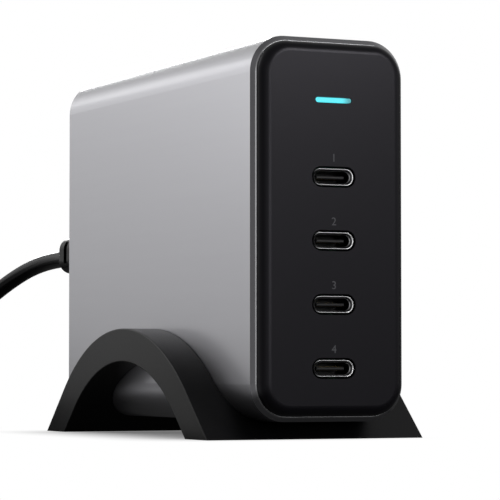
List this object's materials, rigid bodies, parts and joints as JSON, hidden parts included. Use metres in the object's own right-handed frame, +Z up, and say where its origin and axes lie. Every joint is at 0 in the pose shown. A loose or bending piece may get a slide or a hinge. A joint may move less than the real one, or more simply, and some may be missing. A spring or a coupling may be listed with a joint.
{
  "type": "usb charger",
  "caption": "Desktop USB-C charger: rounded aluminium sleeve on edge in a black moulded arch stand, ports in a column on a black front panel, mains lead at the back.",
  "frame": {"origin": "on the floor under the middle of the charger and its stand, without the lead", "axes": "+Z up, -Y out of the front panel with the ports, +X to the right seen from the front"},
  "size_m": [0.1129, 0.2063, 0.0858],
  "materials": {
    "stand_plastic": "fine matte",
    "anodised_aluminium": "bead blasted and anodised",
    "panel_plastic": "satin",
    "case_plastic": "moulded",
    "circuit_board": "solder mask",
    "screw_steel": "plated",
    "shell_steel": "bright plated",
    "tongue_plastic": "moulded",
    "lit_window": "clear, lit from behind",
    "lamp_body": "moulded",
    "ferrite": "sintered",
    "winding_tape": "polyester tape",
    "copper_wire": "enamelled",
    "component_box": "moulded",
    "component_black": "moulded",
    "capacitor_sleeve": "shrink sleeve",
    "disc_blue": "dipped",
    "capacitor_can": "plain",
    "thermal_pad": "soft",
    "spreader_aluminium": "mill",
    "inlet_plastic": "moulded",
    "contact_brass": "plated",
    "cord_jacket": "satin",
    "tie_strap": "hook and loop"
  },
  "bodies": {
    "root": {"stand": "stand_plastic", "sleeve": "anodised_aluminium", "front_panel": "panel_plastic", "rear_panel": "panel_plastic", "inner_case_left": "case_plastic", "inner_case_right": "case_plastic", "main_board": "circuit_board", "port_board": "circuit_board", "inlet_board": "circuit_board", "port_board_screws": "screw_steel", "usb_c_shell_1": "shell_steel", "usb_c_shell_2": "shell_steel", "usb_c_shell_3": "shell_steel", "usb_c_shell_4": "shell_steel", "usb_c_tongue_1": "tongue_plastic", "usb_c_tongue_2": "tongue_plastic", "usb_c_tongue_3": "tongue_plastic", "usb_c_tongue_4": "tongue_plastic", "light_pipe": "lit_window", "indicator_lamp": "lamp_body", "port_chokes": "ferrite", "transformer_core": "ferrite", "transformer_winding": "winding_tape", "boost_choke_core": "ferrite", "boost_choke_winding": "copper_wire", "filter_choke_core": "ferrite", "filter_choke_windings": "copper_wire", "filter_capacitor": "component_box", "fuse": "component_black", "bridge_rectifier": "component_black", "bulk_capacitors": "capacitor_sleeve", "safety_capacitors": "disc_blue", "output_capacitors": "capacitor_can", "power_switches": "component_black", "thermal_pad_left": "thermal_pad", "thermal_pad_right": "thermal_pad", "heat_spreader_left": "spreader_aluminium", "heat_spreader_right": "spreader_aluminium", "inlet_body": "inlet_plastic", "inlet_pins": "contact_brass", "cord_connector": "cord_jacket", "connector_contacts": "contact_brass", "cord_run": "cord_jacket", "cord_coil": "cord_jacket", "cord_tail": "cord_jacket", "cord_tie": "tie_strap", "plug_body": "cord_jacket", "plug_blades": "contact_brass"}
  },
  "joints": []
}
